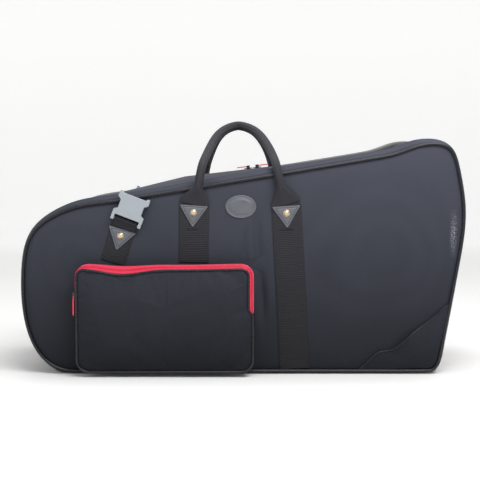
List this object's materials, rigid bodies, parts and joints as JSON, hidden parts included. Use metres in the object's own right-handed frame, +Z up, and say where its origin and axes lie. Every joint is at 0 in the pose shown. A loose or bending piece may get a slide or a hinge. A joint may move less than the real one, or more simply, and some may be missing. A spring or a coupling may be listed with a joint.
{
  "type": "padded euphonium bag",
  "caption": "Soft padded zip-up carrying bag shaped for a euphonium or small tuba, with front pocket, webbing handles and a strap buckle.",
  "frame": {"origin": "middle of the underside of the base, where the bag stands", "axes": "+Z up, +X along the bag from the narrow tail to the bell end, -Y the front with the pocket"},
  "size_m": [0.7559, 0.3666, 0.4288],
  "materials": {
    "nylon": "black ballistic nylon, plain weave, slight sheen",
    "foam": "closed-cell foam padding",
    "lining": "short pile cloth lining",
    "piping": "smooth black vinyl piping",
    "zip_tape": "red woven zip tape",
    "zip_coil": "red nylon zip coil",
    "webbing": "black ribbed webbing",
    "leather": "dark grey leather, stitched",
    "brass": "polished brass rivets",
    "buckle": "grey moulded plastic, satin",
    "slider": "black painted die-cast zip slider",
    "pull": "red painted zip pull"
  },
  "bodies": {
    "case_front": {"front_triangle_left": "leather", "front_triangle_right": "leather", "front_triangle_buckle": "leather", "front_rivets": "brass", "front_handle_foot_left": "webbing", "front_handle_foot_right": "webbing", "front_buckle_loop": "webbing", "front_anchor_webbing": "webbing", "front_webbing_left": "webbing", "front_webbing_right": "webbing", "front_panel_fabric": "nylon", "front_panel_foam": "foam", "front_gusset_fabric": "nylon", "front_gusset_foam": "foam", "front_lining": "lining", "front_piping": "piping", "front_zip_tape": "zip_tape", "front_zip_coil": "zip_coil", "base_fabric": "nylon", "base_board": "foam", "base_lining": "lining", "base_rear_piping": "piping", "pocket_gusset": "nylon", "pocket_face_lower": "nylon", "pocket_piping_lower": "piping", "pocket_zip_tape": "zip_tape", "badge": "leather", "corner_pocket": "nylon", "retaining_strap": "webbing", "bell_pad": "foam"},
    "case_rear": {"rear_triangle_left": "leather", "rear_triangle_right": "leather", "rear_triangle_buckle": "leather", "rear_rivets": "brass", "rear_handle_foot_left": "webbing", "rear_handle_foot_right": "webbing", "rear_buckle_loop": "webbing", "rear_anchor_webbing": "webbing", "rear_webbing_left": "webbing", "rear_webbing_right": "webbing", "rear_panel_fabric": "nylon", "rear_panel_foam": "foam", "rear_gusset_fabric": "nylon", "rear_gusset_foam": "foam", "rear_lining": "lining", "rear_piping": "piping", "rear_zip_tape": "zip_tape", "rear_zip_coil": "zip_coil"},
    "front_handle": {"front_handle": "webbing"},
    "rear_handle": {"rear_handle": "webbing"},
    "front_buckle": {"front_buckle": "buckle"},
    "rear_buckle": {"rear_buckle": "buckle"},
    "left_slider": {"left_zip_slider": "slider"},
    "right_slider": {"right_zip_slider": "slider"},
    "left_pull": {"left_zip_pull": "pull"},
    "right_pull": {"right_zip_pull": "pull"},
    "pocket_flap": {"pocket_flap": "nylon", "pocket_flap_piping": "piping"},
    "pocket_slider": {"pocket_zip_slider": "slider"},
    "pocket_pull": {"pocket_zip_pull": "pull"}
  },
  "joints": [
    {"name": "rear_half_opening", "type": "hinge", "parent": "case_front", "child": "case_rear", "pos_m": [0, 0.1595, 0.01815], "axis": [-1, 0, 0], "range_deg": [0, 60]},
    {"name": "front_handle_swing", "type": "hinge", "parent": "case_front", "child": "front_handle", "pos_m": [0, -0.167, 0.35], "axis": [1, 0, 0], "range_deg": [0, 150]},
    {"name": "rear_handle_swing", "type": "hinge", "parent": "case_rear", "child": "rear_handle", "pos_m": [0, 0.167, 0.35], "axis": [-1, 0, 0], "range_deg": [0, 150]},
    {"name": "front_buckle_flop", "type": "hinge", "parent": "case_front", "child": "front_buckle", "pos_m": [-0.1954, -0.1626, 0.2576], "axis": [0.9336, 0, -0.3584], "range_deg": [0, 120]},
    {"name": "rear_buckle_flop", "type": "hinge", "parent": "case_rear", "child": "rear_buckle", "pos_m": [-0.1954, 0.1626, 0.2576], "axis": [-0.9336, 0, 0.3584], "range_deg": [0, 120]},
    {"name": "right_slider_travel", "type": "slide", "parent": "case_rear", "child": "right_slider", "axis": [0.9934, 0, 0.115], "range_m": [0, 0.18]},
    {"name": "left_slider_travel", "type": "slide", "parent": "case_rear", "child": "left_slider", "axis": [-0.9934, 0, -0.115], "range_m": [0, 0.085]},
    {"name": "right_pull_swing", "type": "hinge", "parent": "right_slider", "child": "right_pull", "pos_m": [0.02553, 0, 0.35015], "axis": [0, -1, 0], "range_deg": [0, 90]},
    {"name": "left_pull_swing", "type": "hinge", "parent": "left_slider", "child": "left_pull", "pos_m": [0.00953, 0, 0.34829], "axis": [0, 1, 0], "range_deg": [0, 90]},
    {"name": "pocket_flap_opening", "type": "hinge", "parent": "case_front", "child": "pocket_flap", "pos_m": [0, -0.1926, 0.10015], "axis": [1, 0, 0], "range_deg": [0, 165]},
    {"name": "pocket_slider_travel", "type": "slide", "parent": "case_front", "child": "pocket_slider", "axis": [0, 0, 1], "range_m": [-0.028, 0.013]},
    {"name": "pocket_pull_swing", "type": "hinge", "parent": "pocket_slider", "child": "pocket_pull", "pos_m": [-0.2813, -0.1843, 0.138], "axis": [0, 1, 0], "range_deg": [0, 150]}
  ]
}
